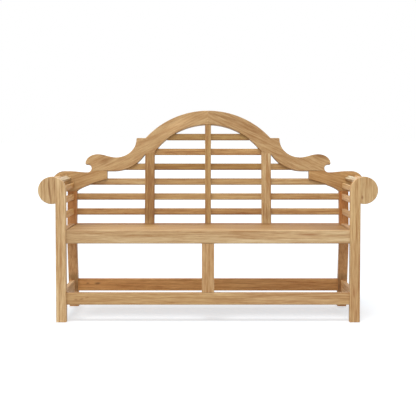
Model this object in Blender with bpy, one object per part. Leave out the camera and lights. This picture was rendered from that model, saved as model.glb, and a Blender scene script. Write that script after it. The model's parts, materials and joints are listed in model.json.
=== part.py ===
"""Two-seater teak garden bench: arched slatted back, rolled slatted arms and a slatted seat.

Metres, +Z up. +X is the right of someone looking at the front, which faces -Y. The origin lies on
the ground, at the middle of the bounding box. The back is drawn flat, as X across and U up its
slope, on an empty that leans it back.
"""

import math
from collections import namedtuple

import bmesh
import bpy
from mathutils import Matrix, Vector

# Overall sizes
OVERALL_WIDTH = 1.650
OVERALL_DEPTH = 0.600
CROWN_HEIGHT = 1.0444
SEAT_HEIGHT = 0.450
ARM_HEIGHT = 0.711

# Joinery
GAP = 0.0003
TENON_ROOT = 0.010
TENON_THICKNESS = 0.012
TENON_SHOULDER = 0.009
TENON_LENGTH = 0.018
SIDE_TENON_LENGTH = 0.014
EDGE_ROUND = 0.0025
RAIL_ROUND = 0.004
ROUND_STEPS = 2

# Legs
LEG_WIDTH = 0.049
LEG_DEPTH = 0.049
RAKE = math.atan(0.150)
SPLAY = math.atan(0.2405)
KNEE_HEIGHT = 0.370
SCROLL_RADIUS = 0.0665
CENTRE_LEG_WIDTH = 0.060

# Rails and stretchers
RAIL_THICKNESS = 0.030
RAIL_SET_BACK = 0.010
SEAT_RAIL_DEPTH = 0.065
BACK_RAIL_THICKNESS = 0.040
BACK_RAIL_FORWARD = 0.002
STRETCHER_CLEAR = 0.0852
STRETCHER_DEPTH = 0.0593
BACK_STRETCHER_CLEAR = 0.087
BACK_STRETCHER_DEPTH = 0.064
BACK_STRETCHER_SET_BACK = 0.004
SIDE_STRETCHER_THICKNESS = 0.024

# Seat
SEAT_SLAT_COUNT = 5
SEAT_SLAT_WIDTH = 0.075
SEAT_SLAT_THICKNESS = 0.020
SEAT_FALL = 0.004
BEARER_WIDTH = 0.028
BEARER_DEPTH = 0.032
BEARER_HOUSING = 0.008

# Arms
ROLL_SLAT_COUNT = 4
ROLL_SLAT_WIDTH = 0.027
ROLL_SLAT_THICKNESS = 0.014
ROLL_APOTHEM = 0.0545
ROLL_OUTWARD = 0.0035
ROLL_RISE = 0.0035
SIDE_SLAT_HEIGHT = 0.029
SIDE_SLAT_THICKNESS = 0.020
SIDE_SLAT_GAP = 0.0303
SIDE_SLAT_INSET = 0.014
ARM_FRONT_HOUSING = 0.013
ARM_REAR_HOUSING = 0.008
SCROLL_TONGUE_DEPTH = 0.008
SCROLL_TONGUE_HEIGHT = 0.085
SCROLL_TONGUE_FORWARD = 0.020

# Back uprights and slats
STILE_WIDTH = 0.0505
STILE_INNER = 0.2825
CREST_THICKNESS = 0.038
MUNTIN_WIDTH = 0.0315
BACK_SLAT_COUNT = 6
BACK_SLAT_HEIGHT = 0.034
BACK_SLAT_THICKNESS = 0.016
BACK_SLAT_SET_BACK = 0.0115
LOWEST_SLAT_GAP = 0.0479
CROWN_SLAT_GAP = 0.0483
SLAT_HOUSING = 0.010
SLAT_SCRIBE = 0.005
FIRST_OUTER_SLAT = 3

# Crest outline, going out from the stile, and up from the seat of the wing on the leg
CREST_DEPTH = 0.074
WING_RISE = 0.1076
SHOULDER_LENGTH = 0.048
SHOULDER_LAP = 0.002
SHOULDER_ROUND = 0.005
STILE_TOP_DROP = 0.0746
STILE_TOP_FALL = 0.0102
SWEEP_RUN = 0.108
SWEEP_RISE = 0.1032
CREST_WAVE_RUN = 0.097
CREST_WAVE_RISE = 0.0172
NOSE_RUN = 0.0645
NOSE_RISE = 0.0492
CHIN_RUN = 0.004
CHIN_RISE = 0.005
HOOK_RADIUS = 0.0213
HOOK_INSET = 0.0113
CHIN_ABOVE_JOINT = 0.035
NECK_RUN = 0.164
WING_END_RUN = 0.1995
WING_END_DEPTH = 0.043
WING_WAVE_END = 0.0235
WING_UNDERSIDE_POWER = 0.68
SCROLL_SEAT_DROP = 0.0399
SCROLL_ABOVE_ARM = 0.0145
TONGUE_HALF_DEPTH = 0.018
CROWN_TONGUE_COVER = 0.014
WING_TONGUE_INSET = 0.018

# Finish: sRGB tones of the oiled wood, and its roughness
LIGHT_TEAK = (204, 168, 126)
MID_TEAK = (190, 150, 108)
DARK_TEAK = (172, 128, 84)
TEAK_ROUGHNESS = 0.55

Box = namedtuple("Box", "centre size roll", defaults=(0.0,))

# Places that follow from the sizes
HALF_WIDTH = OVERALL_WIDTH / 2
FRONT_Y = -OVERALL_DEPTH / 2
REAR_Y = OVERALL_DEPTH / 2
SCROLL_X = HALF_WIDTH - SCROLL_RADIUS
SCROLL_Z = ARM_HEIGHT - SCROLL_RADIUS
ROLL_X = SCROLL_X + ROLL_OUTWARD
ROLL_Z = SCROLL_Z + ROLL_RISE
LEG_INNER = HALF_WIDTH - 2 * SCROLL_RADIUS
LEG_OUTER = LEG_INNER + LEG_WIDTH
LEG_REAR_Y = FRONT_Y + LEG_DEPTH
RAIL_Y = FRONT_Y + RAIL_SET_BACK + RAIL_THICKNESS / 2
RAIL_REAR_Y = RAIL_Y + RAIL_THICKNESS / 2
RAIL_SPAN = 2 * (LEG_INNER - GAP)
RAIL_BOTTOM = SEAT_HEIGHT - SEAT_RAIL_DEPTH
SIDE_TENON_X = LEG_OUTER - RAIL_SET_BACK - SIDE_STRETCHER_THICKNESS / 2
FOOT_Y = REAR_Y - LEG_DEPTH / math.cos(SPLAY)
KNEE_Y = FOOT_Y - KNEE_HEIGHT * math.tan(SPLAY)
BACK_Y = KNEE_Y + (SEAT_HEIGHT - KNEE_HEIGHT) * math.tan(RAKE)
BACK_RAIL_Y = BACK_Y + BACK_RAIL_THICKNESS / 2 - BACK_RAIL_FORWARD
BACK_RAIL_FRONT_Y = BACK_RAIL_Y - BACK_RAIL_THICKNESS / 2
STILE_OUTER = STILE_INNER + STILE_WIDTH
CROWN_U = (CROWN_HEIGHT - SEAT_HEIGHT) / math.cos(RAKE)
CROWN_UNDER_U = CROWN_U - CREST_DEPTH
SCROLL_U = (SCROLL_Z + SCROLL_ABOVE_ARM - SEAT_HEIGHT) / math.cos(RAKE)
LEG_TOP_U = SCROLL_U - SCROLL_SEAT_DROP
CREST_MID_W = CREST_THICKNESS / 2


# Outline curves

def circle_arc(centre, radius, start, end, steps):
    """Points round a circle between two angles in degrees."""
    turns = [math.radians(start + (end - start) * i / steps) for i in range(steps + 1)]
    return [(centre[0] + radius * math.cos(t), centre[1] + radius * math.sin(t)) for t in turns]


def arc_from_apex(apex, end, steps):
    """Points of the circle that is level at its apex and passes through the end point."""
    run = end[0] - apex[0]
    drop = end[1] - apex[1]
    radius = (run * run + drop * drop) / (2 * drop)
    sweep = math.atan2(run / radius, 1 - drop / radius)
    turns = [sweep * i / steps for i in range(steps + 1)]
    return [(apex[0] + radius * math.sin(t), apex[1] + radius * (1 - math.cos(t))) for t in turns]


def quarter(start, end, steps):
    """Quarter of an ellipse that leaves the start plumb and reaches the end level."""
    turns = [math.pi / 2 * i / steps for i in range(steps + 1)]
    run = end[0] - start[0]
    rise = end[1] - start[1]
    return [(end[0] - run * math.cos(t), start[1] + rise * math.sin(t)) for t in turns]


def wave(start, end, steps):
    """Cosine half wave, level at both ends."""
    parts = [i / steps for i in range(steps + 1)]
    run = end[0] - start[0]
    rise = end[1] - start[1]
    return [(start[0] + run * p, start[1] + rise * (1 - math.cos(math.pi * p)) / 2) for p in parts]


def swept(start, end, power, steps):
    """Curve between two points that climbs fastest at its start, where its points crowd."""
    crowding = 1.5
    parts = [(i / steps) ** crowding for i in range(steps + 1)]
    run = end[0] - start[0]
    climb = end[1] - start[1]
    return [(start[0] + run * p, start[1] + climb * p ** power) for p in parts]


def crossing(line, level):
    """X where a line of points reaches a level."""
    for (x0, u0), (x1, u1) in zip(line, line[1:]):
        if u0 != u1 and min(u0, u1) <= level <= max(u0, u1):
            return x0 + (x1 - x0) * (level - u0) / (u1 - u0)
    raise ValueError("the line does not reach that level")


def mirrored(outline):
    """The same outline on the other side of the middle."""
    return [(-x, u) for x, u in outline]


# Objects

def teak(name, tone):
    """Own oiled-wood material of one piece."""
    material = bpy.data.materials.new(name)
    material.use_nodes = True
    shader = material.node_tree.nodes["Principled BSDF"]
    linear = [((c / 255 + 0.055) / 1.055) ** 2.4 for c in tone]
    shader.inputs["Base Color"].default_value = (*linear, 1.0)
    shader.inputs["Roughness"].default_value = TEAK_ROUGHNESS
    shader.inputs["Metallic"].default_value = 0.0
    return material


def place(name, mesh_edit, frame=None):
    """Object from an edited mesh, with its origin at the middle of its own bounding box."""
    bmesh.ops.recalc_face_normals(mesh_edit, faces=mesh_edit.faces)
    lows = [min(v.co[i] for v in mesh_edit.verts) for i in range(3)]
    highs = [max(v.co[i] for v in mesh_edit.verts) for i in range(3)]
    middle = (Vector(lows) + Vector(highs)) / 2
    bmesh.ops.translate(mesh_edit, vec=-middle, verts=mesh_edit.verts)
    mesh = bpy.data.meshes.new(name)
    mesh_edit.to_mesh(mesh)
    mesh_edit.free()
    piece = bpy.data.objects.new(name, mesh)
    bpy.context.collection.objects.link(piece)
    piece.location = middle
    piece.parent = frame
    return piece


def add_box(mesh_edit, box):
    """One box in a mesh, rolled about its own Y axis."""
    spot = Matrix.Translation(box.centre) @ Matrix.Rotation(box.roll, 4, "Y")
    size = Matrix.Diagonal((*box.size, 1.0))
    bmesh.ops.create_cube(mesh_edit, size=1.0, matrix=spot @ size)


def grown(box, by):
    """A box larger by the same amount on every side."""
    return Box(box.centre, tuple(s + 2 * by for s in box.size), box.roll)


def saw(mesh_edit, point, outward):
    """Cut off what lies outside a plane and close the end."""
    geometry = mesh_edit.verts[:] + mesh_edit.edges[:] + mesh_edit.faces[:]
    cut = bmesh.ops.bisect_plane(
        mesh_edit, geom=geometry, plane_co=point, plane_no=outward, clear_outer=True
    )
    edges = [g for g in cut["geom_cut"] if isinstance(g, bmesh.types.BMEdge)]
    bmesh.ops.edgeloop_fill(mesh_edit, edges=edges)


def plank(name, box, along, tone, frame=None, edge=EDGE_ROUND, cuts=()):
    """Straight piece with its four long edges rounded, then sawn at its planes."""
    mesh_edit = bmesh.new()
    add_box(mesh_edit, Box(box.centre, box.size))
    long_edges = []
    for e in mesh_edit.edges:
        run = e.verts[1].co - e.verts[0].co
        if abs(run[along]) > box.size[along] / 2:
            long_edges.append(e)
    bmesh.ops.bevel(
        mesh_edit, geom=long_edges, offset=edge, segments=ROUND_STEPS, profile=0.5, affect="EDGES"
    )
    for point, outward in cuts:
        saw(mesh_edit, point, outward)
    piece = place(name, mesh_edit, frame)
    piece.rotation_euler = (0.0, box.roll, 0.0)
    piece.data.materials.append(teak(name, tone))
    return piece


def board(name, outline, start, thickness, tone, frame=None, glued=None, side_on=False):
    """Shaped piece: an outline seen from the front, or side on, thickened and rounded at its rims."""
    mesh_edit = bmesh.new()
    depth_axis = 0 if side_on else 1
    corners = [(start, a, b) if side_on else (a, start, b) for a, b in outline]
    face = mesh_edit.faces.new([mesh_edit.verts.new(c) for c in corners])
    grown_face = bmesh.ops.extrude_face_region(mesh_edit, geom=[face])
    moved = [g for g in grown_face["geom"] if isinstance(g, bmesh.types.BMVert)]
    shift = Vector((thickness, 0, 0)) if side_on else Vector((0, thickness, 0))
    bmesh.ops.translate(mesh_edit, vec=shift, verts=moved)
    bmesh.ops.recalc_face_normals(mesh_edit, faces=mesh_edit.faces)
    rim = []
    for e in mesh_edit.edges:
        first, second = (v.co for v in e.verts)
        middle = (first + second) / 2
        across = abs(first[depth_axis] - second[depth_axis])
        sharp = glued is not None and glued(middle)
        if across < thickness / 2 and not sharp:
            rim.append(e)
    bmesh.ops.bevel(
        mesh_edit, geom=rim, offset=EDGE_ROUND, segments=ROUND_STEPS, profile=0.5, affect="EDGES"
    )
    piece = place(name, mesh_edit, frame)
    piece.data.materials.append(teak(name, tone))
    return piece


# Joints

def tool(name, boxes, frame=None):
    """Hidden helper object of one or more boxes, for Boolean modifiers."""
    mesh_edit = bmesh.new()
    for box in boxes:
        add_box(mesh_edit, box)
    helper = place(name, mesh_edit, frame)
    helper.hide_render = True
    helper.display_type = "WIRE"
    return helper


def boolean(piece, helper, operation):
    """Boolean modifier with the exact solver."""
    modifier = piece.modifiers.new(helper.name, "BOOLEAN")
    modifier.operation = operation
    modifier.solver = "EXACT"
    modifier.object = helper


def house(name, receivers, boxes, frame=None):
    """Housings with clearance for whole pieces."""
    helper = tool(name + "_housing", [grown(b, GAP) for b in boxes], frame)
    for receiver in receivers:
        boolean(receiver, helper, "DIFFERENCE")


def tenon(piece, receivers, boxes, frame=None):
    """Tenons on a piece, and mortises with clearance in what receives them."""
    helper = tool(piece.name + "_tenon", boxes, frame)
    boolean(piece, helper, "UNION")
    house(piece.name, receivers, boxes, frame)


def end_tenons(y, z, height):
    """Tenon boxes at both ends of a rail that runs along X."""
    middle = LEG_INNER + (TENON_LENGTH - TENON_ROOT) / 2
    size = (TENON_LENGTH + TENON_ROOT, TENON_THICKNESS, height)
    return [Box((side * middle, y, z), size) for side in (-1, 1)]


def back_plane_y(z):
    """Y of the front of the back at a height above the knee."""
    return BACK_Y + (z - SEAT_HEIGHT) * math.tan(RAKE)


def leg_front_y(z):
    """Y of the front of the back leg at a height below the knee."""
    return FOOT_Y - z * math.tan(SPLAY)


# Legs

def front_leg(side, label):
    """Post whose top follows the arm disc, with the joint to the scroll left unrounded."""
    joint_rise = math.sqrt(SCROLL_RADIUS ** 2 - (SCROLL_X - LEG_OUTER) ** 2)
    start_angle = math.degrees(math.atan2(joint_rise, LEG_OUTER - SCROLL_X))
    top = circle_arc((SCROLL_X, SCROLL_Z), SCROLL_RADIUS, start_angle, 180, 10)
    outline = [(LEG_INNER, 0), (LEG_OUTER, 0), (LEG_OUTER, SCROLL_Z - joint_rise), *top]
    if side < 0:
        outline = mirrored(outline)

    def glued(middle):
        return abs(abs(middle.x) - LEG_OUTER) < GAP and middle.z > SCROLL_Z - joint_rise

    return board("front_leg_" + label, outline, FRONT_Y, LEG_DEPTH, LIGHT_TEAK, glued=glued)


def arm_scroll(side, label, leg):
    """Outer part of the arm disc, tongued into the leg."""
    face_x = LEG_OUTER + GAP
    joint_rise = math.sqrt(SCROLL_RADIUS ** 2 - (SCROLL_X - face_x) ** 2)
    half_turn = math.degrees(math.atan2(joint_rise, face_x - SCROLL_X))
    outline = circle_arc((SCROLL_X, SCROLL_Z), SCROLL_RADIUS, -half_turn, half_turn, 28)
    if side < 0:
        outline = mirrored(outline)

    def glued(middle):
        return abs(abs(middle.x) - face_x) < GAP / 2

    scroll = board("arm_scroll_" + label, outline, FRONT_Y, LEG_DEPTH, MID_TEAK, glued=glued)
    tongue_x = side * (LEG_OUTER + (TENON_ROOT - SCROLL_TONGUE_DEPTH) / 2)
    size = (SCROLL_TONGUE_DEPTH + TENON_ROOT, TENON_THICKNESS, SCROLL_TONGUE_HEIGHT)
    tenon(scroll, [leg], [Box((tongue_x, FRONT_Y + SCROLL_TONGUE_FORWARD, SCROLL_Z), size)])
    return scroll


def back_leg(side, label):
    """Leg with one knee, splayed below it and raked above it."""
    top_front = (BACK_Y + LEG_TOP_U * math.sin(RAKE), SEAT_HEIGHT + LEG_TOP_U * math.cos(RAKE))
    top_rear = (top_front[0] + LEG_DEPTH * math.cos(RAKE), top_front[1] - LEG_DEPTH * math.sin(RAKE))
    foot_rear = (REAR_Y, 0.0)
    lean = math.tan(RAKE) + math.tan(SPLAY)
    knee_rear_z = (foot_rear[0] - top_rear[0] + top_rear[1] * math.tan(RAKE)) / lean
    knee_rear = (foot_rear[0] - knee_rear_z * math.tan(SPLAY), knee_rear_z)
    outline = [(FOOT_Y, 0.0), foot_rear, knee_rear, top_rear, top_front, (KNEE_Y, KNEE_HEIGHT)]
    start = LEG_INNER if side > 0 else -LEG_OUTER
    return board("back_leg_" + label, outline, start, LEG_WIDTH, DARK_TEAK, side_on=True)


def side_frames():
    """Legs and arm scrolls of both ends."""
    legs = {}
    for side, label in ((-1, "left"), (1, "right")):
        front = front_leg(side, label)
        scroll = arm_scroll(side, label, front)
        legs[side] = (front, scroll, back_leg(side, label))
    return legs


# Rails and stretchers

def long_rail(name, y, thickness, bottom, top, tone, receivers):
    """Rail or stretcher along X, tenoned into two legs."""
    middle = (bottom + top) / 2
    box = Box((0, y, middle), (RAIL_SPAN, thickness, top - bottom))
    rail = plank(name, box, 0, tone, edge=RAIL_ROUND)
    tenon(rail, receivers, end_tenons(y, middle, top - bottom - 2 * TENON_SHOULDER))
    return rail


def side_rail(name, side, thickness, bottom, top, rear_y, lean, tone, front, back):
    """Rail or stretcher along Y, its rear shoulder cut to the slope of the back leg."""
    x = side * (LEG_OUTER - RAIL_SET_BACK - thickness / 2)
    front_y = LEG_REAR_Y + GAP
    middle = (bottom + top) / 2
    box = Box((x, 0, middle), (thickness, OVERALL_DEPTH, top - bottom))
    normal = Vector((0, math.cos(lean), -math.sin(lean)))
    shoulder = Vector((0, rear_y(middle), middle)) - normal * GAP
    cuts = [((0, front_y, middle), (0, -1, 0)), (shoulder, normal)]
    rail = plank(name, box, 1, tone, edge=RAIL_ROUND, cuts=cuts)
    height = top - bottom - 2 * TENON_SHOULDER
    size = (TENON_THICKNESS, SIDE_TENON_LENGTH + TENON_ROOT, height)
    slip = height / 2 * abs(math.tan(lean))
    rear_size = (size[0], size[1] + slip, height)
    half = (SIDE_TENON_LENGTH - TENON_ROOT) / 2
    boxes = [
        Box((side * SIDE_TENON_X, LEG_REAR_Y - half, middle), size),
        Box((side * SIDE_TENON_X, rear_y(middle) + half, middle), rear_size),
    ]
    tenon(rail, [front, back], boxes)


def rails_and_stretchers(legs):
    """Seat rails, stretchers and the centre leg."""
    fronts = [legs[-1][0], legs[1][0]]
    backs = [legs[-1][2], legs[1][2]]
    front_rail = long_rail(
        "seat_front_rail", RAIL_Y, RAIL_THICKNESS, RAIL_BOTTOM, SEAT_HEIGHT, LIGHT_TEAK, fronts
    )
    back_rail = long_rail(
        "seat_back_rail", BACK_RAIL_Y, BACK_RAIL_THICKNESS, RAIL_BOTTOM, SEAT_HEIGHT, MID_TEAK, backs
    )
    stretcher_top = STRETCHER_CLEAR + STRETCHER_DEPTH
    front_stretcher = long_rail(
        "front_stretcher", RAIL_Y, RAIL_THICKNESS, STRETCHER_CLEAR, stretcher_top, MID_TEAK, fronts
    )
    back_stretcher_top = BACK_STRETCHER_CLEAR + BACK_STRETCHER_DEPTH
    stretcher_y = leg_front_y((BACK_STRETCHER_CLEAR + back_stretcher_top) / 2)
    stretcher_y += BACK_STRETCHER_SET_BACK + RAIL_THICKNESS / 2
    long_rail(
        "back_stretcher", stretcher_y, RAIL_THICKNESS, BACK_STRETCHER_CLEAR, back_stretcher_top,
        DARK_TEAK, backs,
    )
    for side, label in ((-1, "left"), (1, "right")):
        front, _, back = legs[side]
        side_rail(
            "seat_side_rail_" + label, side, RAIL_THICKNESS, RAIL_BOTTOM, SEAT_HEIGHT,
            back_plane_y, RAKE, MID_TEAK, front, back,
        )
        side_rail(
            "side_stretcher_" + label, side, SIDE_STRETCHER_THICKNESS, STRETCHER_CLEAR,
            stretcher_top, leg_front_y, -SPLAY, DARK_TEAK, front, back,
        )
    centre_leg(front_rail, front_stretcher, stretcher_top)
    return front_rail, back_rail


def centre_leg(front_rail, front_stretcher, stretcher_top):
    """Upright that stands on the front stretcher and carries the front rail."""
    height = RAIL_BOTTOM - stretcher_top
    middle = (RAIL_BOTTOM + stretcher_top) / 2
    box = Box((0, RAIL_Y, middle), (CENTRE_LEG_WIDTH, RAIL_THICKNESS, height - 2 * GAP))
    leg = plank("front_centre_leg", box, 2, LIGHT_TEAK)
    size = (CENTRE_LEG_WIDTH - 2 * TENON_SHOULDER, TENON_THICKNESS, TENON_LENGTH + TENON_ROOT)
    offset = height / 2 + (TENON_LENGTH - TENON_ROOT) / 2
    boxes = [Box((0, RAIL_Y, middle + way * offset), size) for way in (-1, 1)]
    tenon(leg, [front_rail, front_stretcher], boxes)


# Seat

def seat(front_rail, back_rail):
    """Bearers front to back, and slats across them that fall slightly to the rear."""
    run = BACK_RAIL_FRONT_Y - RAIL_REAR_Y
    fall = math.atan(SEAT_FALL / run)
    spacing = (run - SEAT_SLAT_COUNT * SEAT_SLAT_WIDTH) / (SEAT_SLAT_COUNT + 1)

    def under_slats(y):
        return SEAT_HEIGHT - SEAT_SLAT_THICKNESS - GAP - (y - RAIL_REAR_Y) * math.tan(fall)

    first_y = RAIL_REAR_Y + GAP
    last_y = BACK_RAIL_FRONT_Y - GAP
    top_front = under_slats(first_y)
    top_rear = under_slats(last_y)
    outline = [
        (first_y, top_front - BEARER_DEPTH), (last_y, top_rear - BEARER_DEPTH),
        (last_y, top_rear), (first_y, top_front),
    ]
    outer_x = LEG_INNER - BEARER_WIDTH / 2 - 2 * GAP
    for label, x in (("left", -outer_x), ("centre", 0.0), ("right", outer_x)):
        bearer = board(
            "seat_bearer_" + label, outline, x - BEARER_WIDTH / 2, BEARER_WIDTH, DARK_TEAK, side_on=True
        )
        size = (TENON_THICKNESS, BEARER_HOUSING + TENON_ROOT, TENON_THICKNESS)
        half = (BEARER_HOUSING - TENON_ROOT) / 2
        boxes = [
            Box((x, RAIL_REAR_Y - half, top_front - BEARER_DEPTH / 2), size),
            Box((x, BACK_RAIL_FRONT_Y + half, top_rear - BEARER_DEPTH / 2), size),
        ]
        tenon(bearer, [front_rail, back_rail], boxes)

    for index in range(SEAT_SLAT_COUNT):
        y = RAIL_REAR_Y + spacing + SEAT_SLAT_WIDTH / 2 + index * (SEAT_SLAT_WIDTH + spacing)
        middle_z = under_slats(y) + GAP + SEAT_SLAT_THICKNESS / 2
        box = Box((0, y, middle_z), (RAIL_SPAN - 2 * GAP, SEAT_SLAT_WIDTH, SEAT_SLAT_THICKNESS))
        slat = plank(f"seat_slat_{index + 1}", box, 0, LIGHT_TEAK)
        slat.rotation_euler = (-fall, 0, 0)


# Arms

def arm_slats(legs, wings):
    """Four slats round each roll and two below it, housed in the front and the back."""
    step = math.pi / (ROLL_SLAT_COUNT - 1)
    front_y = LEG_REAR_Y - ARM_FRONT_HOUSING
    for side, label in ((-1, "left"), (1, "right")):
        front, scroll, back = legs[side]
        boxes = []
        for index in range(ROLL_SLAT_COUNT):
            turn = index * step
            radius = ROLL_APOTHEM - ROLL_SLAT_THICKNESS / 2
            x = ROLL_X - radius * math.cos(turn)
            z = ROLL_Z + radius * math.sin(turn)
            rear_y = back_plane_y(z) + ARM_REAR_HOUSING
            size = (ROLL_SLAT_THICKNESS, rear_y - front_y, ROLL_SLAT_WIDTH)
            boxes.append(Box((side * x, (front_y + rear_y) / 2, z), size, side * turn))
        upper = ROLL_Z - ROLL_SLAT_WIDTH / 2 - SIDE_SLAT_GAP - SIDE_SLAT_HEIGHT / 2
        lower = (upper - SIDE_SLAT_HEIGHT / 2 + SEAT_HEIGHT) / 2
        for z in (upper, lower):
            x = LEG_INNER + SIDE_SLAT_INSET + SIDE_SLAT_THICKNESS / 2
            rear_y = back_plane_y(z) + ARM_REAR_HOUSING
            size = (SIDE_SLAT_THICKNESS, rear_y - front_y, SIDE_SLAT_HEIGHT)
            boxes.append(Box((side * x, (front_y + rear_y) / 2, z), size))
        for index, box in enumerate(boxes):
            plank(f"arm_slat_{label}_{index + 1}", box, 1, MID_TEAK)
        house("arm_slats_" + label, [front, scroll, back, wings[side]], boxes)


# Back

def crest_points():
    """Key points of one crest half, as X and U."""
    joint_u = LEG_TOP_U + WING_RISE
    chin_u = joint_u + CHIN_ABOVE_JOINT
    nose_u = chin_u + CHIN_RISE
    bump_u = nose_u + NOSE_RISE
    low_u = bump_u - CREST_WAVE_RISE
    shoulder_u = low_u + SWEEP_RISE
    shoulder_x = STILE_OUTER - SHOULDER_LAP
    tip = (shoulder_x + SHOULDER_LENGTH, shoulder_u - SHOULDER_ROUND)
    low = (tip[0] + SWEEP_RUN, low_u)
    bump = (low[0] + CREST_WAVE_RUN, bump_u)
    nose = (bump[0] + NOSE_RUN, nose_u)
    chin = (nose[0] - CHIN_RUN, chin_u)
    hook = (nose[0] - HOOK_INSET, chin_u - HOOK_RADIUS)
    hook_angle = math.degrees(math.asin((hook[1] - joint_u) / HOOK_RADIUS))
    stile_top = shoulder_u - STILE_TOP_DROP
    return {
        "shoulder": (shoulder_x, shoulder_u),
        "tip": tip,
        "low": low,
        "bump": bump,
        "nose": nose,
        "chin": chin,
        "hook": hook,
        "hook_angle": hook_angle,
        "joint_u": joint_u,
        "neck": (STILE_OUTER + NECK_RUN, joint_u),
        "wing_end": STILE_OUTER + WING_END_RUN,
        "stile_inner": (STILE_INNER, stile_top),
        "stile_outer": (STILE_OUTER, stile_top - STILE_TOP_FALL),
    }


def crown_underside(p):
    """Arched line from the middle of the crest down to the stile."""
    return arc_from_apex((0, CROWN_UNDER_U), p["stile_inner"], 14)


def neck_underside(p):
    """Arched line from the neck down to the outside of the stile."""
    return arc_from_apex(p["neck"], p["stile_outer"], 10)


def arch_outline(p):
    """Right half of the crest: crown, shoulder, sweep, wave, hook, neck and both undersides."""
    shoulder_end = (p["tip"][0] - SHOULDER_ROUND, p["shoulder"][1])
    line = arc_from_apex((0, CROWN_U), p["shoulder"], 16)
    line += quarter(p["tip"], shoulder_end, 3)[::-1]
    line += quarter(p["tip"], p["low"], 12)[1:]
    line += wave(p["low"], p["bump"], 8)[1:]
    line += quarter(p["nose"], p["bump"], 8)[-2::-1]
    line += quarter(p["nose"], p["chin"], 3)[1:]
    line += circle_arc(p["hook"], HOOK_RADIUS, 90, 180 + p["hook_angle"], 12)
    line.append((p["wing_end"], p["joint_u"]))
    line += neck_underside(p)
    line += crown_underside(p)[::-1]
    cleared = []
    for x, u in line:
        lift = GAP / 2 if u == p["joint_u"] else 0.0
        cleared.append((max(x, GAP / 2), u + lift))
    return cleared


def wing_underside(p):
    """Line from the leg's inner face up to the wing's inner end."""
    end = (p["wing_end"], p["joint_u"] - WING_END_DEPTH)
    return swept((LEG_INNER, LEG_TOP_U), end, WING_UNDERSIDE_POWER, 9)


def wing_outline(p):
    """Right wing: hollow under the hook, long wave, scroll end and its seat on the leg."""
    joint_u = p["joint_u"] - GAP / 2
    hollow = circle_arc(p["hook"], HOOK_RADIUS, 180 + p["hook_angle"], 270, 5)
    hollow[0] = (hollow[0][0], joint_u)
    scroll_top = SCROLL_U + SCROLL_RADIUS
    flat = SCROLL_X - WING_WAVE_END
    drop = math.degrees(math.asin(SCROLL_SEAT_DROP / SCROLL_RADIUS))
    line = [(p["wing_end"], joint_u)]
    line += hollow
    line += wave(hollow[-1], (flat, scroll_top), 8)[1:]
    line += circle_arc((SCROLL_X, SCROLL_U), SCROLL_RADIUS, 90, -drop, 20)
    line += wing_underside(p)
    return [(x, u + GAP) if u <= LEG_TOP_U + GAP else (x, u) for x, u in line]


def crest(side, label, frame, p):
    """One half of the arch and its wing, with their glued faces left sharp."""
    arch_line = arch_outline(p)
    wing_line = wing_outline(p)
    if side < 0:
        arch_line = mirrored(arch_line)
        wing_line = mirrored(wing_line)

    def on_shoulder(middle):
        return STILE_INNER < abs(middle.x) < STILE_OUTER and middle.z < p["stile_inner"][1]

    def arch_glued(middle):
        at_crown = abs(middle.x) < GAP
        at_wing = abs(middle.z - p["joint_u"]) < GAP and abs(middle.x) > p["wing_end"]
        return at_crown or at_wing or on_shoulder(middle)

    def wing_glued(middle):
        return abs(middle.z - p["joint_u"]) < GAP

    arch = board("crest_arch_" + label, arch_line, 0, CREST_THICKNESS, MID_TEAK, frame, arch_glued)
    wing = board("crest_wing_" + label, wing_line, 0, CREST_THICKNESS, MID_TEAK, frame, wing_glued)
    return arch, wing


def upright_cuts():
    """Level saw cut that lets a raked upright stand on the back rail."""
    point = Vector((0, 0, GAP / math.cos(RAKE)))
    down = Vector((0, math.sin(RAKE), -math.cos(RAKE)))
    return [(point, down)]


def stile(side, label, frame, p, arch, back_rail):
    """Upright between the seat and the crest, its top cut to the crest's slope."""
    middle_x = (STILE_INNER + STILE_OUTER) / 2
    inner_u = p["stile_inner"][1]
    outer_u = p["stile_outer"][1]
    height = inner_u + 2 * TENON_LENGTH
    box = Box(
        (side * middle_x, CREST_MID_W, inner_u + TENON_LENGTH - height / 2),
        (STILE_WIDTH, CREST_THICKNESS, height),
    )
    slope = Vector((side * STILE_TOP_FALL, 0, STILE_WIDTH)).normalized()
    top = Vector((side * middle_x, 0, (inner_u + outer_u) / 2)) - slope * GAP
    cuts = upright_cuts() + [(top, slope)]
    piece = plank("back_stile_" + label, box, 2, MID_TEAK, frame, cuts=cuts)
    foot_y = BACK_RAIL_Y + GAP
    foot = Box(
        (side * middle_x, foot_y, SEAT_HEIGHT - (TENON_LENGTH - TENON_ROOT) / 2),
        (STILE_WIDTH - 2 * TENON_SHOULDER, TENON_THICKNESS, TENON_LENGTH + TENON_ROOT),
    )
    tenon(piece, [back_rail], [foot])
    head_width = STILE_WIDTH - SLAT_HOUSING - 2 * TENON_SHOULDER
    head_x = STILE_OUTER - TENON_SHOULDER - head_width / 2
    head = Box(
        (side * head_x, CREST_MID_W, outer_u + (TENON_LENGTH - TENON_ROOT) / 2),
        (head_width, TENON_THICKNESS, TENON_LENGTH + 2 * TENON_ROOT),
    )
    helper = tool(piece.name + "_head", [head], frame)
    boolean(piece, helper, "UNION")
    house(piece.name + "_head", [arch], [head], frame)
    return piece


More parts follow.
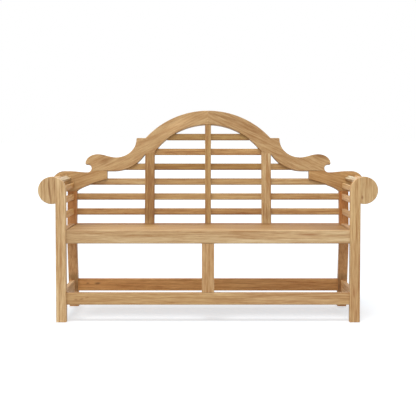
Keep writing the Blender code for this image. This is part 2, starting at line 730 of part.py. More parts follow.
def muntin(frame, p, arches, back_rail):
    """Middle upright, flush in front and lapped over the slats behind."""
    depth = BACK_SLAT_SET_BACK + BACK_SLAT_THICKNESS
    crest_line = [(u, x) for x, u in crown_underside(p)]
    top = crossing(crest_line, MUNTIN_WIDTH / 2) - GAP
    height = top + TENON_LENGTH
    box = Box((0, depth / 2, top - height / 2), (MUNTIN_WIDTH, depth, height))
    piece = plank("back_muntin", box, 2, LIGHT_TEAK, frame, cuts=upright_cuts())
    width = MUNTIN_WIDTH - TENON_SHOULDER
    thickness = BACK_SLAT_SET_BACK - 2 * GAP
    foot = Box(
        (0, BACK_Y + depth / 2, SEAT_HEIGHT - (TENON_LENGTH - TENON_ROOT) / 2),
        (width, thickness, TENON_LENGTH + TENON_ROOT),
    )
    tenon(piece, [back_rail], [foot])
    head = Box(
        (0, depth / 2, CROWN_UNDER_U + (TENON_LENGTH - TENON_ROOT) / 2),
        (width, thickness, TENON_LENGTH + TENON_ROOT),
    )
    helper = tool("back_muntin_head", [head], frame)
    boolean(piece, helper, "UNION")
    house("back_muntin_head", arches, [head], frame)
    return piece


def slat_reach(edge, low):
    """X where a slat ends: inside a plumb face, or short of where its foot would leave a curve."""
    here = crossing(edge, low)
    above = crossing(edge, low + SLAT_SCRIBE)
    if abs(here - above) < GAP:
        return here + SLAT_HOUSING
    return here - SLAT_SCRIBE


def slat_box(x0, x1, low):
    """Back slat between two X values, with its lower edge at U."""
    centre = ((x0 + x1) / 2, BACK_SLAT_SET_BACK + BACK_SLAT_THICKNESS / 2, low + BACK_SLAT_HEIGHT / 2)
    return Box(centre, (x1 - x0, BACK_SLAT_THICKNESS, BACK_SLAT_HEIGHT))


def back_slats(frame, p, legs, arches, wings, stiles, middle):
    """Level slats: six across the middle, and four outside each stile."""
    room = CROWN_UNDER_U - CROWN_SLAT_GAP - BACK_SLAT_HEIGHT - LOWEST_SLAT_GAP
    pitch = room / (BACK_SLAT_COUNT - 1)
    lows = [LOWEST_SLAT_GAP + (BACK_SLAT_COUNT - 1 - i) * pitch for i in range(BACK_SLAT_COUNT)]
    inner_edge = crown_underside(p) + [(STILE_INNER, 0.0)]
    outer_edge = neck_underside(p)[::-1]
    outer_edge += [(p["wing_end"], p["joint_u"])]
    outer_edge += wing_underside(p)[::-1]
    outer_edge += [(LEG_INNER, 0.0)]

    boxes = []
    for index, low in enumerate(lows):
        reach = slat_reach(inner_edge, low)
        boxes.append(slat_box(-reach, reach, low))
        plank(f"back_slat_centre_{index + 1}", boxes[-1], 0, DARK_TEAK, frame)
    house("back_slats_centre", [*arches.values(), *stiles.values(), middle], boxes, frame)

    for side, label in ((-1, "left"), (1, "right")):
        boxes = []
        for index in range(FIRST_OUTER_SLAT - 1, BACK_SLAT_COUNT):
            ends = [side * (STILE_OUTER - SLAT_HOUSING), side * slat_reach(outer_edge, lows[index])]
            boxes.append(slat_box(min(ends), max(ends), lows[index]))
            plank(f"back_slat_{label}_{index + 1}", boxes[-1], 0, DARK_TEAK, frame)
        receivers = [arches[side], wings[side], stiles[side], legs[side][2]]
        house("back_slats_" + label, receivers, boxes, frame)


def tongues(frame, p, arches, wings):
    """Loose tongues across the crown joint and the two wing joints."""
    low = CROWN_UNDER_U + TENON_LENGTH + TENON_SHOULDER
    high = CROWN_U - CROWN_TONGUE_COVER
    size = (2 * TONGUE_HALF_DEPTH, TENON_THICKNESS, high - low)
    crown = Box((0, CREST_MID_W, (low + high) / 2), size)
    plank("crown_tongue", crown, 2, MID_TEAK, frame, edge=GAP)
    house("crown_tongue", arches.values(), [crown], frame)
    inner = p["wing_end"] + WING_TONGUE_INSET
    outer = p["hook"][0] - HOOK_RADIUS - WING_TONGUE_INSET
    for side, label in ((-1, "left"), (1, "right")):
        box = Box(
            (side * (inner + outer) / 2, CREST_MID_W, p["joint_u"]),
            (outer - inner, TENON_THICKNESS, 2 * TONGUE_HALF_DEPTH),
        )
        plank("wing_tongue_" + label, box, 0, MID_TEAK, frame, edge=GAP)
        house("wing_tongue_" + label, [arches[side], wings[side]], [box], frame)


def leg_top_tenons(frame, legs, wings):
    """Tenons on the back legs that hold the wings."""
    length = SCROLL_SEAT_DROP + TENON_ROOT
    middle_x = LEG_INNER + LEG_WIDTH / 2
    middle_u = LEG_TOP_U + (length - TENON_ROOT) / 2
    size = (LEG_WIDTH - 2 * TENON_SHOULDER, TENON_THICKNESS, length + TENON_ROOT)
    for side in (-1, 1):
        leg = legs[side][2]
        box = Box((side * middle_x, CREST_MID_W + GAP, middle_u), size)
        tenon(leg, [wings[side]], [box], frame)


def back(legs, back_rail):
    """Everything that leans: crest, uprights, slats and tongues."""
    frame = bpy.data.objects.new("back_rake", None)
    bpy.context.collection.objects.link(frame)
    frame.location = (0, BACK_Y, SEAT_HEIGHT)
    frame.rotation_euler = (-RAKE, 0, 0)
    p = crest_points()
    arches, wings, stiles = {}, {}, {}
    for side, label in ((-1, "left"), (1, "right")):
        arches[side], wings[side] = crest(side, label, frame, p)
        stiles[side] = stile(side, label, frame, p, arches[side], back_rail)
    middle = muntin(frame, p, arches.values(), back_rail)
    back_slats(frame, p, legs, arches, wings, stiles, middle)
    tongues(frame, p, arches, wings)
    leg_top_tenons(frame, legs, wings)
    return wings


def build():
    """The whole bench."""
    for old in list(bpy.data.objects):
        bpy.data.objects.remove(old, do_unlink=True)
    legs = side_frames()
    front_rail, back_rail = rails_and_stretchers(legs)
    seat(front_rail, back_rail)
    wings = back(legs, back_rail)
    arm_slats(legs, wings)


build()
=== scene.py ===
import json
import math

import bpy
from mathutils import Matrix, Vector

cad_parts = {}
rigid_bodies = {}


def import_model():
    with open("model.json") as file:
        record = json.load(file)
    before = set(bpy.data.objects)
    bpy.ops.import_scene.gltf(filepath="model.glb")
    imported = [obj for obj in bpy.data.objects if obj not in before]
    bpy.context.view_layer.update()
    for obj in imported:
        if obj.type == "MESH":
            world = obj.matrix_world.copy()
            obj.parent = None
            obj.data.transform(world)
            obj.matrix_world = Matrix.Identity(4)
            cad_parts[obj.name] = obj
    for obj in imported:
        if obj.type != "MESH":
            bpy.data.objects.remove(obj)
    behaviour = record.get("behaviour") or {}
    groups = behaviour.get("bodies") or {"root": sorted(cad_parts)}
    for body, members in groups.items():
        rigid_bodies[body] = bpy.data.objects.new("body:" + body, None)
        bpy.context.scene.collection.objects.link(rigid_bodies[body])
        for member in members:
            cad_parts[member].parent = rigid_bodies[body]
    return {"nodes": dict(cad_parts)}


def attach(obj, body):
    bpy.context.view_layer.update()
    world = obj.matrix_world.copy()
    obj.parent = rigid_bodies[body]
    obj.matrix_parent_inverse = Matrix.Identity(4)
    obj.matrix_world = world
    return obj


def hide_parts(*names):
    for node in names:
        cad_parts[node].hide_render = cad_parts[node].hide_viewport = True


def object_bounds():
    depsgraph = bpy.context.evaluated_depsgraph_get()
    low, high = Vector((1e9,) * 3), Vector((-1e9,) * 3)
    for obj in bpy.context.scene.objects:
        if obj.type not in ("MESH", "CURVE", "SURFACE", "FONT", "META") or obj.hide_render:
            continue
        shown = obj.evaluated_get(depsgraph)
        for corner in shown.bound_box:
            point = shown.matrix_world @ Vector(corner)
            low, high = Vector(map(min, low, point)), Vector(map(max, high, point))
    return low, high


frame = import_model()
cad_box = [list(corner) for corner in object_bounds()]
scene = bpy.context.scene
scene.view_settings.view_transform = "Standard"

# Studio
# A white ground that shows only the bench's shadow, under an even pale world. A key lamp shines from
# high in front, and the others from both sides, from low in front and from behind. The lamps of the
# sides and the low corners miss the ground. Spread, tilt and turn are in degrees.
LAMPS = {
    "key_lamp": {"strength": 1.35, "spread": 28, "tilt": 28, "turn": -15, "lights_ground": True},
    "left_lamp": {"strength": 1.75, "spread": 60, "tilt": 48, "turn": -84, "lights_ground": False},
    "right_lamp": {"strength": 0.85, "spread": 60, "tilt": 57, "turn": 78, "lights_ground": False},
    "low_lamp": {"strength": 0.30, "spread": 30, "tilt": 78, "turn": 0, "lights_ground": True},
    "low_left_lamp": {"strength": 0.50, "spread": 40, "tilt": 82, "turn": -52, "lights_ground": False},
    "low_right_lamp": {"strength": 0.45, "spread": 40, "tilt": 82, "turn": 52, "lights_ground": False},
    "rear_lamp": {"strength": 0.70, "spread": 60, "tilt": 45, "turn": 180, "lights_ground": True},
}
WORLD_LIGHT = 0.22
WORLD_SEEN = 1.0
GROUND_SIZE = 400
GROUND_WHITE = (0.860, 0.860, 0.860, 1)
GROUND_SHADE = (0.790, 0.820, 0.850, 1)
GROUND_TINT = (0.955, 1.000, 1.045, 1)
GROUND_GLOW = 0.520


def lit_and_seen(tree, lit, seen):
    """Shader that lights the bench as one thing and is seen, also in reflections, as another."""
    path = tree.nodes.new("ShaderNodeLightPath")
    direct = tree.nodes.new("ShaderNodeMath")
    direct.operation = "MAXIMUM"
    choice = tree.nodes.new("ShaderNodeMixShader")
    tree.links.new(path.outputs["Is Camera Ray"], direct.inputs[0])
    tree.links.new(path.outputs["Is Glossy Ray"], direct.inputs[1])
    tree.links.new(direct.outputs["Value"], choice.inputs["Fac"])
    tree.links.new(lit, choice.inputs[1])
    tree.links.new(seen, choice.inputs[2])
    return choice.outputs["Shader"]


def white_sky(tree, strength):
    """Even white background of some strength."""
    sky = tree.nodes.new("ShaderNodeBackground")
    sky.inputs["Color"].default_value = (1, 1, 1, 1)
    sky.inputs["Strength"].default_value = strength
    return sky.outputs["Background"]


world = bpy.data.worlds.new("studio")
world.use_nodes = True
scene.world = world
tree = world.node_tree
tree.nodes.clear()
output = tree.nodes.new("ShaderNodeOutputWorld")
sky = lit_and_seen(tree, white_sky(tree, WORLD_LIGHT), white_sky(tree, WORLD_SEEN))
tree.links.new(sky, output.inputs["Surface"])

all_but_ground = bpy.data.collections.new("all_but_ground")
bpy.ops.object.select_all(action="DESELECT")
for lamp_name, lamp in LAMPS.items():
    turned = (math.radians(lamp["tilt"]), 0, math.radians(lamp["turn"]))
    bpy.ops.object.light_add(type="SUN", rotation=turned)
    sun = bpy.context.object
    sun.name = lamp_name
    sun.data.energy = lamp["strength"]
    sun.data.angle = math.radians(lamp["spread"])
    if not lamp["lights_ground"]:
        sun.light_linking.receiver_collection = all_but_ground

bpy.ops.mesh.primitive_plane_add(size=GROUND_SIZE, location=(0, 0, 0))
ground = bpy.context.object
ground.name = "studio_ground"
paper = bpy.data.materials.new("white_ground")
paper.use_nodes = True
tree = paper.node_tree
tree.nodes.clear()
output = tree.nodes.new("ShaderNodeOutputMaterial")
matt = tree.nodes.new("ShaderNodeBsdfDiffuse")
matt.inputs["Color"].default_value = GROUND_WHITE
shade = tree.nodes.new("ShaderNodeBsdfDiffuse")
shade.inputs["Color"].default_value = GROUND_SHADE
glow = tree.nodes.new("ShaderNodeEmission")
glow.inputs["Color"].default_value = GROUND_TINT
glow.inputs["Strength"].default_value = GROUND_GLOW
both = tree.nodes.new("ShaderNodeAddShader")
tree.links.new(shade.outputs["BSDF"], both.inputs[0])
tree.links.new(glow.outputs["Emission"], both.inputs[1])
surface = lit_and_seen(tree, matt.outputs["BSDF"], both.outputs["Shader"])
tree.links.new(surface, output.inputs["Surface"])
ground.data.materials.append(paper)
all_but_ground.objects.link(ground)
all_but_ground.collection_objects[0].light_linking.link_state = "EXCLUDE"

# Camera
# A long lens, straight in front of the middle of the bench. It is a little lower than the crown and
# looks slightly down. The distance is from the front of the bench, in metres.
CAMERA_DISTANCE = 5.592
CAMERA_HEIGHT = 0.893
CAMERA_DOWN = 3.413
CAMERA_LENS = 99.95
CAMERA_FILM = 36

front_y = cad_box[0][1]
camera_data = bpy.data.cameras.new("camera")
camera = bpy.data.objects.new("camera", camera_data)
scene.collection.objects.link(camera)
camera.location = (0, front_y - CAMERA_DISTANCE, CAMERA_HEIGHT)
camera.rotation_euler = (math.radians(90 - CAMERA_DOWN), 0, 0)
camera_data.sensor_width = CAMERA_FILM
camera_data.lens = CAMERA_LENS
scene.camera = camera

# Front legs
# Square posts of solid teak with upright grain. The top of each is rounded as the inner part of the
# arm disc. The shorter centre leg stands on the front stretcher and is tenoned into it and into the
# seat's front rail. All the teak is bare and sanded, and its tones are sRGB from 0 to 255.
GRAIN_UPRIGHT = (0, math.radians(90), 0)
STREAKS = {"stretch": (3.2, 105.0, 105.0), "detail": 5.0, "rough": 0.65, "twist": 0.0, "weight": 2.4}
FIGURE = {"stretch": (1.2, 16.0, 16.0), "detail": 2.0, "rough": 0.50, "twist": 0.3, "weight": 1.1}
FIBRES = {"stretch": (16.0, 280.0, 280.0), "detail": 3.0, "rough": 0.70, "twist": 0.0, "weight": 1.6}
CHANNEL_SHIFT = (0.65, 1.05, 1.55)
BROWNEST = -0.24
PALEST = 0.20
MIDDLE_TONE = 0.5
MARK_CORE = 0.2
SMOOTHEST = 0.45
ROUGHEST = 0.65
GLOSS = 0.35
FIBRE_RELIEF = 0.3
FIBRE_DEPTH = 0.0005
PLACE_IN_TREE = (3.1, 5.3, 7.7)
NEXT_BOARD = 0.71
SAME_POINT = 0.00001
FLAT_ANGLE = 0.5
ROUND_ANGLE = 40


def linear(tone):
    """Scene colour of an sRGB tone."""
    return tuple(((c / 255 + 0.055) / 1.055) ** 2.4 for c in tone) + (1,)


def shifted(tone, by):
    """A tone made paler or browner, its blue most and its red least."""
    return tuple(min(255, c * (1 + by * part)) for c, part in zip(tone, CHANNEL_SHIFT))


def over(tone, under):
    """Colour that turns one tone into another when the two are multiplied, grain and all."""
    return tuple(a / b for a, b in zip(linear(tone), linear(under)))


def board(name):
    """Whole, smooth-edged copy of a CAD piece, which it replaces."""
    bpy.ops.object.select_all(action="DESELECT")
    frame["nodes"][name].select_set(True)
    bpy.context.view_layer.objects.active = frame["nodes"][name]
    bpy.ops.object.duplicate()
    copy = bpy.context.object
    copy.name = "teak_" + name
    bpy.ops.object.parent_clear(type="CLEAR_KEEP_TRANSFORM")
    bpy.ops.object.mode_set(mode="EDIT")
    bpy.ops.mesh.select_all(action="SELECT")
    bpy.ops.mesh.remove_doubles(threshold=SAME_POINT)
    bpy.ops.mesh.dissolve_limited(angle_limit=math.radians(FLAT_ANGLE))
    bpy.ops.object.mode_set(mode="OBJECT")
    bpy.ops.object.shade_smooth_by_angle(angle=math.radians(ROUND_ANGLE))
    evened = copy.modifiers.new("evened", "WEIGHTED_NORMAL")
    evened.keep_sharp = True
    bpy.ops.object.modifier_apply(modifier=evened.name)
    copy.data.materials.clear()
    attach(copy, "root")
    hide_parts(name)
    return copy


def grained(tree, along, start, kind):
    """Noise drawn out along the grain, from the board's own place in the tree."""
    mapped = tree.nodes.new("ShaderNodeMapping")
    mapped.inputs["Location"].default_value = [start * step for step in PLACE_IN_TREE]
    mapped.inputs["Scale"].default_value = kind["stretch"]
    texture = tree.nodes.new("ShaderNodeTexNoise")
    texture.inputs["Scale"].default_value = 1.0
    texture.inputs["Detail"].default_value = kind["detail"]
    texture.inputs["Roughness"].default_value = kind["rough"]
    texture.inputs["Distortion"].default_value = kind["twist"]
    tree.links.new(along, mapped.inputs["Vector"])
    tree.links.new(mapped.outputs["Vector"], texture.inputs["Vector"])
    return texture.outputs["Fac"]


def weighed(tree, value, weight, total):
    """Total plus weight times how far the value is from its middle."""
    step = tree.nodes.new("ShaderNodeMath")
    step.operation = "MULTIPLY_ADD"
    step.inputs[1].default_value = weight
    tree.links.new(value, step.inputs[0])
    if isinstance(total, float):
        step.inputs[2].default_value = total - weight / 2
        return step.outputs["Value"]
    shift = tree.nodes.new("ShaderNodeMath")
    shift.operation = "SUBTRACT"
    shift.inputs[1].default_value = weight / 2
    tree.links.new(total, shift.inputs[0])
    tree.links.new(shift.outputs["Value"], step.inputs[2])
    return step.outputs["Value"]


def marked(tree, place, colour, tone, mark):
    """Colour with one knot, stain or patch of painted light or shade, fullest at its core, fading to
    its rim.
    """
    spot = tree.nodes.new("ShaderNodeMapping")
    spot.vector_type = "TEXTURE"
    spot.inputs["Location"].default_value = mark["at"]
    spot.inputs["Rotation"].default_value = (0, math.radians(mark.get("turn", 0)), 0)
    spot.inputs["Scale"].default_value = mark["size"]
    reach = tree.nodes.new("ShaderNodeVectorMath")
    reach.operation = "LENGTH"
    soft = tree.nodes.new("ShaderNodeMapRange")
    soft.interpolation_type = "SMOOTHSTEP"
    soft.inputs["From Min"].default_value = MARK_CORE
    soft.inputs["From Max"].default_value = 1.0
    soft.inputs["To Min"].default_value = mark["strength"]
    soft.inputs["To Max"].default_value = 0.0
    mixed = tree.nodes.new("ShaderNodeMix")
    mixed.data_type = "RGBA"
    mixed.blend_type = "MULTIPLY"
    mixed.inputs["B"].default_value = over(mark["tone"], tone)
    tree.links.new(place, spot.inputs["Vector"])
    tree.links.new(spot.outputs["Vector"], reach.inputs[0])
    tree.links.new(reach.outputs["Value"], soft.inputs["Value"])
    tree.links.new(soft.outputs["Result"], mixed.inputs["Factor"])
    tree.links.new(colour, mixed.inputs["A"])
    return mixed.outputs["Result"]


def teak(name, tone, grain, start, marks, contrast):
    """Bare sanded teak: long streaks, soft figure, open fibres, and any knots, stains and painted
    light or shade.
    """
    material = bpy.data.materials.new(name)
    material.use_nodes = True
    tree = material.node_tree
    shader = tree.nodes["Principled BSDF"]
    place = tree.nodes.new("ShaderNodeTexCoord").outputs["Object"]
    along = tree.nodes.new("ShaderNodeMapping")
    along.inputs["Rotation"].default_value = grain
    tree.links.new(place, along.inputs["Vector"])
    streaks = grained(tree, along.outputs["Vector"], start, STREAKS)
    figure = grained(tree, along.outputs["Vector"], start, FIGURE)
    fibres = grained(tree, along.outputs["Vector"], start, FIBRES)

    depth = weighed(tree, streaks, STREAKS["weight"] * contrast, MIDDLE_TONE)
    depth = weighed(tree, figure, FIGURE["weight"] * contrast, depth)
    depth = weighed(tree, fibres, FIBRES["weight"] * contrast, depth)
    tint = tree.nodes.new("ShaderNodeValToRGB")
    tint.color_ramp.elements[0].color = linear(shifted(tone, BROWNEST))
    tint.color_ramp.elements[1].color = linear(shifted(tone, PALEST))
    middle = tint.color_ramp.elements.new(MIDDLE_TONE)
    middle.color = linear(tone)
    tree.links.new(depth, tint.inputs["Fac"])
    colour = tint.outputs["Color"]
    for mark in marks:
        colour = marked(tree, place, colour, tone, mark)
    tree.links.new(colour, shader.inputs["Base Color"])

    rough = tree.nodes.new("ShaderNodeMapRange")
    rough.inputs["To Min"].default_value = SMOOTHEST
    rough.inputs["To Max"].default_value = ROUGHEST
    tree.links.new(fibres, rough.inputs["Value"])
    tree.links.new(rough.outputs["Result"], shader.inputs["Roughness"])
    shader.inputs["Specular IOR Level"].default_value = GLOSS
    relief = tree.nodes.new("ShaderNodeBump")
    relief.inputs["Strength"].default_value = FIBRE_RELIEF
    relief.inputs["Distance"].default_value = FIBRE_DEPTH
    tree.links.new(fibres, relief.inputs["Height"])
    tree.links.new(relief.outputs["Normal"], shader.inputs["Normal"])
    return material


def timber(tones, grain, start, marks=(), contrast=1.0):
    """Boards of one kind, each cut from its own place in the tree and in its own tone."""
    for index, (name, tone) in enumerate(tones.items()):
        own = [mark for mark in marks if mark["on"] == name]
        piece = board(name)
        wood = teak(piece.name, tone, grain, start + index * NEXT_BOARD, own, contrast)
        piece.data.materials.append(wood)


LEG_TONES = {
    "front_leg_left": (197, 161, 114),
    "front_leg_right": (186, 147, 98),
}
LEG_MARKS = [
    {"on": "front_leg_right", "at": (0.716, -0.276, 0.10), "size": (0.2, 0.2, 0.42),
     "tone": (174, 132, 86), "strength": 0.5},
    {"on": "front_leg_right", "at": (0.712, -0.300, 0.150), "size": (0.009, 0.030, 0.042),
     "tone": (158, 106, 62), "strength": 0.7},
    {"on": "front_leg_right", "at": (0.722, -0.300, 0.040), "size": (0.008, 0.030, 0.050),
     "tone": (162, 112, 68), "strength": 0.6},
]
CENTRE_LEG_TONES = {
    "front_centre_leg": (194, 156, 109),
}
timber(LEG_TONES, GRAIN_UPRIGHT, start=0.3, marks=LEG_MARKS)
timber(CENTRE_LEG_TONES, GRAIN_UPRIGHT, start=2.3, contrast=0.9)

# Arm discs
# The outer part of each round arm end, a block of teak as thick as the leg. It is glued to the side
# of the leg's rounded top, with a tongue in the leg, and the two parts make one disc.
DISC_TONES = {
    "arm_scroll_left": (188, 152, 106),
    "arm_scroll_right": (188, 153, 106),
}
DISC_MARKS = [
    {"on": "arm_scroll_right", "at": (0.7487, -0.300, 0.6105), "size": (0.008, 0.030, 0.014),
     "tone": (140, 98, 60), "strength": 0.85},
    {"on": "arm_scroll_left", "at": (-0.768, -0.300, 0.640), "size": (0.006, 0.030, 0.095),
     "tone": (138, 94, 54), "strength": 0.9, "turn": -5},
    {"on": "arm_scroll_left", "at": (-0.744, -0.300, 0.668), "size": (0.005, 0.030, 0.050),
     "tone": (152, 110, 68), "strength": 0.8},
]
timber(DISC_TONES, GRAIN_UPRIGHT, start=4.1, marks=DISC_MARKS)

# Back legs
# Bent legs sawn from wide teak boards, splayed below the knee and raked above it. The grain stays
# upright where they lean. A tenon on the top of each holds one of the crest's lower boards.
# Their tones are darkened as painted shade behind the arm slats, above the seat.
BACK_LEG_TONES_WITH_SHADE = {
    "back_leg_left": (175, 119, 66),
    "back_leg_right": (170, 112, 58),
}
# Painted light and shade: the legs are made paler low down, and shade is painted just above the side
# stretchers and in the corners beside the back stretcher.
BACK_LEG_PAINTED_LIGHT_AND_SHADE = [
    {"on": "back_leg_left", "at": (-0.716, 0.2, 0.12), "size": (0.3, 0.4, 0.42),
     "tone": (210, 162, 110), "strength": 0.8},
    {"on": "back_leg_right", "at": (0.716, 0.2, 0.12), "size": (0.3, 0.4, 0.42),
     "tone": (200, 150, 98), "strength": 0.8},
    {"on": "back_leg_left", "at": (-0.716, 0.24, 0.164), "size": (0.060, 0.1, 0.034),
     "tone": (132, 90, 46), "strength": 0.85},
    {"on": "back_leg_right", "at": (0.716, 0.24, 0.164), "size": (0.060, 0.1, 0.032),
     "tone": (134, 90, 46), "strength": 0.8},
    {"on": "back_leg_left", "at": (-0.698, 0.24, 0.118), "size": (0.011, 0.1, 0.050),
     "tone": (140, 98, 54), "strength": 0.8},
    {"on": "back_leg_right", "at": (0.698, 0.24, 0.118), "size": (0.011, 0.1, 0.050),
     "tone": (148, 102, 56), "strength": 0.7},
]
timber(BACK_LEG_TONES_WITH_SHADE, GRAIN_UPRIGHT, start=7.9, marks=BACK_LEG_PAINTED_LIGHT_AND_SHADE, contrast=0.6)

# Seat rails and stretchers
# Teak boards set on edge, with level grain. The rails and stretchers are tenoned into the legs. The
# three bearers run from the front rail to the back rail, tenoned into both, and carry the slats.
GRAIN_LEVEL = (0, 0, 0)
GRAIN_ACROSS = (0, 0, math.radians(90))
LONG_TONES_WITH_PAINTED_SHADE_AND_LIGHT = {
    "seat_front_rail": (190, 156, 112),
    # Painted shade: the back rail's dark tone stands for the shade of the back above it.
    "seat_back_rail": (154, 108, 62),
    "front_stretcher": (185, 146, 97),
    # Painted light: the back stretcher's pale tone makes up for the little lamp light under the seat.
    "back_stretcher": (228, 168, 103),
}
LONG_MARKS = [
    {"on": "seat_front_rail", "at": (0.490, -0.290, 0.4285), "size": (0.085, 0.030, 0.0065),
     "tone": (152, 104, 62), "strength": 0.9},
    {"on": "seat_front_rail", "at": (0.38, -0.290, 0.421), "size": (0.42, 0.05, 0.018),
     "tone": (176, 134, 88), "strength": 0.6},
    {"on": "front_stretcher", "at": (-0.645, -0.290, 0.1105), "size": (0.012, 0.030, 0.006),
     "tone": (150, 104, 62), "strength": 0.8},
    {"on": "front_stretcher", "at": (-0.617, -0.290, 0.1135), "size": (0.014, 0.030, 0.005),
     "tone": (150, 104, 62), "strength": 0.8, "turn": -12},
    {"on": "front_stretcher", "at": (-0.590, -0.290, 0.1215), "size": (0.016, 0.030, 0.005),
     "tone": (158, 112, 68), "strength": 0.8, "turn": -12},
    {"on": "front_stretcher", "at": (0.40, -0.290, 0.115), "size": (0.45, 0.2, 0.3),
     "tone": (176, 134, 90), "strength": 0.5},
    {"on": "back_stretcher", "at": (-0.588, 0.2253, 0.126), "size": (0.022, 0.030, 0.008),
     "tone": (140, 90, 48), "strength": 0.8, "turn": -6},
    {"on": "back_stretcher", "at": (-0.640, 0.2253, 0.127), "size": (0.012, 0.030, 0.006),
     "tone": (165, 110, 62), "strength": 0.7},
    {"on": "back_stretcher", "at": (0.40, 0.2253, 0.118), "size": (0.45, 0.2, 0.3),
     "tone": (182, 124, 70), "strength": 0.5},
]
SIDE_TONES_WITH_PAINTED_LIGHT = {
    "seat_side_rail_left": (182, 140, 95),
    "seat_side_rail_right": (176, 134, 90),
    # Painted light: the side stretchers' pale tones make up for the little lamp light under the seat.
    "side_stretcher_left": (206, 166, 118),
    "side_stretcher_right": (222, 175, 118),
    "seat_bearer_left": (170, 128, 85),
    "seat_bearer_centre": (176, 135, 92),
    "seat_bearer_right": (166, 124, 82),
}
timber(LONG_TONES_WITH_PAINTED_SHADE_AND_LIGHT, GRAIN_LEVEL, start=11.3, marks=LONG_MARKS, contrast=0.88)
timber(SIDE_TONES_WITH_PAINTED_LIGHT, GRAIN_ACROSS, start=15.7)

# Seat slats
# Five wide teak slats laid along the bench on the bearers, with gaps between them for the rain.
# They fall a little to the rear. They grow browner towards the right, and a painted shadow of the
# right arm lies on their right ends. The rear slats are darker, as painted shade under the back.
SEAT_TONES_SHADED_TO_REAR = {
    # Darker towards the rear slats: painted shade under the back.
    "seat_slat_1": (181, 145, 95),
    "seat_slat_2": (172, 132, 82),
    "seat_slat_3": (178, 140, 88),
    "seat_slat_4": (167, 127, 74),
    "seat_slat_5": (160, 121, 68),
}
SEAT_MARKS_AND_ARM_SHADOW = [
    {"on": name, "at": (0.50, -0.05, 0.44), "size": (0.85, 0.6, 0.3),
     "tone": (154, 114, 64), "strength": 0.85}
    for name in SEAT_TONES_SHADED_TO_REAR
] + [
    # Painted shadow of the right arm on the slats' right ends.
    {"on": name, "at": (0.66, -0.05, 0.44), "size": (0.20, 0.6, 0.3),
     "tone": (146, 106, 58), "strength": 0.5}
    for name in SEAT_TONES_SHADED_TO_REAR
]
timber(SEAT_TONES_SHADED_TO_REAR, GRAIN_LEVEL, start=23.9, marks=SEAT_MARKS_AND_ARM_SHADOW)

# Arm slats
# Thin teak slats from the front discs to the back: four round each roll, which is the armrest, and
# two below it. Their ends stop in housings in the legs, the discs and the crest's lower boards.
# Slat 2 of each roll, whose top faces up into the light, has a paler tone as a painted highlight.
ARM_TONES_WITH_HIGHLIGHT = {
    "arm_slat_left_1": (185, 140, 82),
    "arm_slat_left_2": (188, 163, 124),
    "arm_slat_left_3": (206, 168, 122),
    "arm_slat_left_4": (200, 160, 114),
    "arm_slat_left_5": (203, 158, 99),
    "arm_slat_left_6": (203, 158, 96),
    "arm_slat_right_1": (187, 147, 95),
    "arm_slat_right_2": (192, 174, 139),
    "arm_slat_right_3": (206, 168, 122),
    "arm_slat_right_4": (200, 160, 114),
    "arm_slat_right_5": (198, 158, 111),
    "arm_slat_right_6": (183, 143, 95),
}
timber(ARM_TONES_WITH_HIGHLIGHT, GRAIN_ACROSS, start=29.3)

# Crest
# Two arched teak boards with hooked ends, glued at the crown, and under each a lower board that runs
# out to a scroll over the back leg. The grain of each board follows its slope. Loose tongues of
# teak, hidden in the glued joints, hold the boards together.
CREST_BOARDS = [
    {"tones": {"crest_arch_left": (185, 149, 102)}, "slope": 26, "start": 41.0, "contrast": 0.65},
    {"tones": {"crest_arch_right": (177, 141, 95)}, "slope": -26, "start": 43.0, "contrast": 0.8},
    {"tones": {"crest_wing_left": (176, 137, 88)}, "slope": 18, "start": 45.0, "contrast": 0.7},
    {"tones": {"crest_wing_right": (173, 131, 80)}, "slope": -18, "start": 47.0, "contrast": 0.7},
]
CREST_MARKS_AND_HIGHLIGHT = [
    # A paler patch on the left arch, painted as a highlight.
    {"on": "crest_arch_left", "at": (-0.165, 0.250, 0.968), "size": (0.135, 0.060, 0.032),
     "tone": (208, 172, 124), "strength": 0.8, "turn": -29},
    {"on": "crest_arch_left", "at": (-0.543, 0.250, 0.775), "size": (0.062, 0.060, 0.034),
     "tone": (150, 110, 66), "strength": 0.8},
    {"on": "crest_arch_left", "at": (-0.553, 0.250, 0.806), "size": (0.026, 0.060, 0.007),
     "tone": (142, 98, 56), "strength": 0.7, "turn": 8},
    {"on": "crest_arch_right", "at": (0.105, 0.250, 1.004), "size": (0.120, 0.060, 0.011),
     "tone": (140, 98, 54), "strength": 0.75, "turn": 17},
    {"on": "crest_arch_right", "at": (0.222, 0.250, 0.950), "size": (0.080, 0.060, 0.026),
     "tone": (152, 112, 66), "strength": 0.7, "turn": 30},
    {"on": "crest_arch_right", "at": (0.600, 0.250, 0.806), "size": (0.080, 0.060, 0.032),
     "tone": (136, 96, 52), "strength": 0.85},
]
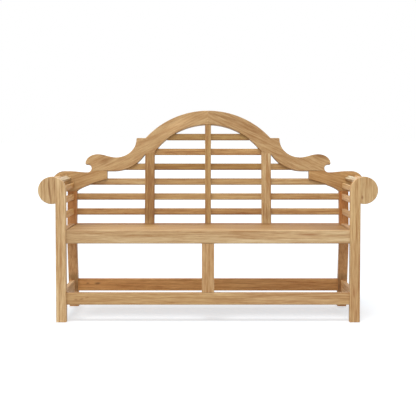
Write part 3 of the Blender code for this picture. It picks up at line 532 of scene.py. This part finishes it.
TONGUE_TONES = {
    "crown_tongue": (184, 144, 100),
    "wing_tongue_left": (184, 144, 100),
    "wing_tongue_right": (184, 144, 100),
}
for crest in CREST_BOARDS:
    grain_sloped = (0, math.radians(crest["slope"]), 0)
    timber(crest["tones"], grain_sloped, crest["start"], CREST_MARKS_AND_HIGHLIGHT, crest["contrast"])
timber(TONGUE_TONES, GRAIN_LEVEL, start=49.0)

# Back uprights
# Two teak stiles and a narrow middle upright, all raked with the back. They stand on the seat's back
# rail and reach up into the crest, with a tenon at each end.
GRAIN_RAKED = (math.radians(8.5), math.radians(90), 0)
UPRIGHT_TONES = {
    "back_stile_left": (162, 123, 75),
    "back_stile_right": (192, 160, 114),
    "back_muntin": (158, 118, 70),
}
UPRIGHT_MARKS = [
    {"on": "back_stile_left", "at": (-0.318, 0.180, 0.500), "size": (0.050, 0.080, 0.050),
     "tone": (143, 103, 57), "strength": 0.9},
    {"on": "back_stile_right", "at": (0.318, 0.180, 0.500), "size": (0.050, 0.080, 0.050),
     "tone": (170, 136, 90), "strength": 0.9},
]
timber(UPRIGHT_TONES, GRAIN_RAKED, start=53.0, marks=UPRIGHT_MARKS, contrast=1.4)

# Back slats
# Level teak slats, set back from the front of the boards: six across the middle, let into the rear
# of the middle upright, and four outside each stile. They are housed in the stiles, the crest and
# the back legs.
CENTRE_TONES = {
    "back_slat_centre_1": (158, 121, 69),
    "back_slat_centre_2": (174, 131, 80),
    "back_slat_centre_3": (147, 106, 55),
    "back_slat_centre_4": (169, 130, 81),
    "back_slat_centre_5": (173, 135, 86),
    "back_slat_centre_6": (165, 121, 71),
}
OUTER_TONES = {
    "back_slat_left_3": (176, 137, 85),
    "back_slat_left_4": (185, 149, 101),
    "back_slat_left_5": (175, 135, 86),
    "back_slat_left_6": (175, 131, 80),
    "back_slat_right_3": (164, 124, 74),
    "back_slat_right_4": (187, 152, 104),
    "back_slat_right_5": (186, 149, 99),
    "back_slat_right_6": (177, 135, 84),
}
timber(CENTRE_TONES, GRAIN_LEVEL, start=57.0)
timber(OUTER_TONES, GRAIN_LEVEL, start=63.0)
